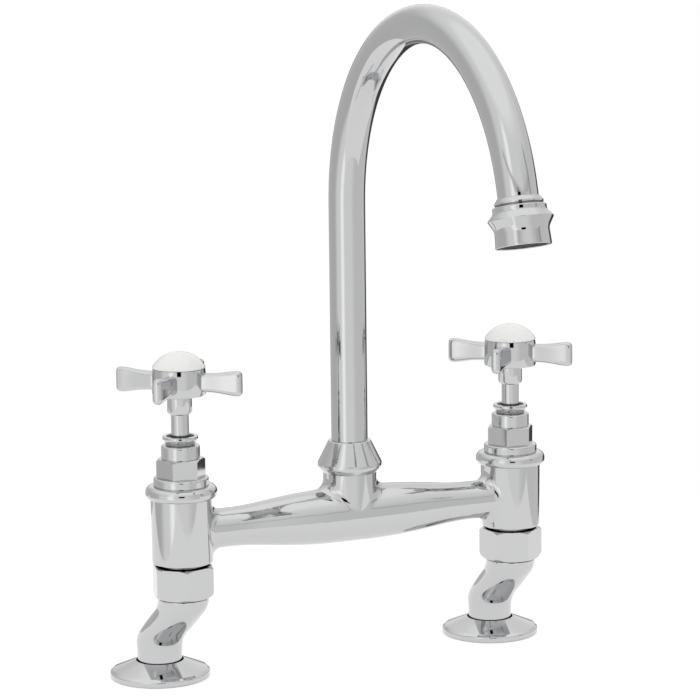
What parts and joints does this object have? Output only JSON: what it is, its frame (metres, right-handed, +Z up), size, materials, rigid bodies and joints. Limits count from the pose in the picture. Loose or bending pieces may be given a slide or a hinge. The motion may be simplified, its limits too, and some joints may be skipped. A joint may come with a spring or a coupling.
{
  "type": "bridge kitchen faucet",
  "caption": "Chrome bridge kitchen faucet with a tall swivelling arched spout, cross handles with white ceramic domes, and cranked swivel legs on round deck flanges.",
  "frame": {"origin": "on the deck plane under the flanges, midway between the two inlet shanks", "axes": "+Z up, the bar along X, the spout reaches out along -Y over the sink"},
  "size_m": [0.2371, 0.24, 0.3797],
  "materials": {
    "chrome_plate": "polished chromium plate on brass",
    "white_ceramic": "glazed white porcelain",
    "valve_ceramic": "lapped alumina",
    "seal_rubber": "black nitrile rubber",
    "washer_plastic": "white slip washer",
    "bare_brass": "machined brass",
    "screw_steel": "stainless screw",
    "aerator_plastic": "dark moulded plastic"
  },
  "bodies": {
    "bridge": {"bridge_body": "chrome_plate", "spout_cone_nut": "chrome_plate", "left_bonnet": "chrome_plate", "left_gland_cup": "chrome_plate", "left_body_seal": "seal_rubber", "left_seat_washer": "seal_rubber", "left_lower_disc": "valve_ceramic", "left_union_nut": "chrome_plate", "left_union_washer": "washer_plastic", "right_bonnet": "chrome_plate", "right_gland_cup": "chrome_plate", "right_body_seal": "seal_rubber", "right_seat_washer": "seal_rubber", "right_lower_disc": "valve_ceramic", "right_union_nut": "chrome_plate", "right_union_washer": "washer_plastic"},
    "spout": {"spout_tube": "chrome_plate", "spout_spigot": "bare_brass", "spout_seal_lower": "seal_rubber", "spout_seal_upper": "seal_rubber", "spout_lower_washer": "washer_plastic", "spout_upper_washer": "washer_plastic", "nozzle_collar": "chrome_plate", "nozzle_shell": "chrome_plate", "aerator": "aerator_plastic", "aerator_seal": "seal_rubber"},
    "left_valve": {"left_upper_disc": "valve_ceramic", "left_slip_ring": "washer_plastic", "left_stem_seal": "seal_rubber", "left_spindle": "chrome_plate", "left_handle": "chrome_plate", "left_handle_screw": "screw_steel", "left_index": "white_ceramic"},
    "left_foot": {"left_leg": "chrome_plate", "left_deck_flange": "chrome_plate", "left_flange_gasket": "seal_rubber", "left_union_collar": "bare_brass"},
    "right_valve": {"right_upper_disc": "valve_ceramic", "right_slip_ring": "washer_plastic", "right_stem_seal": "seal_rubber", "right_spindle": "chrome_plate", "right_handle": "chrome_plate", "right_handle_screw": "screw_steel", "right_index": "white_ceramic"},
    "right_foot": {"right_leg": "chrome_plate", "right_deck_flange": "chrome_plate", "right_flange_gasket": "seal_rubber", "right_union_collar": "bare_brass"}
  },
  "joints": [
    {"name": "spout_swivel", "type": "hinge", "parent": "bridge", "child": "spout", "pos_m": [0.00511, -0.01672, 0.101], "axis": [0, 0, 1], "continuous": true},
    {"name": "left_handle_turn", "type": "hinge", "parent": "bridge", "child": "left_valve", "pos_m": [-0.08489, -0.01672, 0.0979], "axis": [0, 0, 1], "range_deg": [0, 90]},
    {"name": "left_leg_swivel", "type": "hinge", "parent": "bridge", "child": "left_foot", "pos_m": [-0.08489, -0.01672, 0.0469], "axis": [0, 0, 1], "continuous": true},
    {"name": "right_handle_turn", "type": "hinge", "parent": "bridge", "child": "right_valve", "pos_m": [0.09511, -0.01672, 0.0979], "axis": [0, 0, 1], "range_deg": [-90, 0]},
    {"name": "right_leg_swivel", "type": "hinge", "parent": "bridge", "child": "right_foot", "pos_m": [0.09511, -0.01672, 0.0469], "axis": [0, 0, 1], "continuous": true}
  ]
}
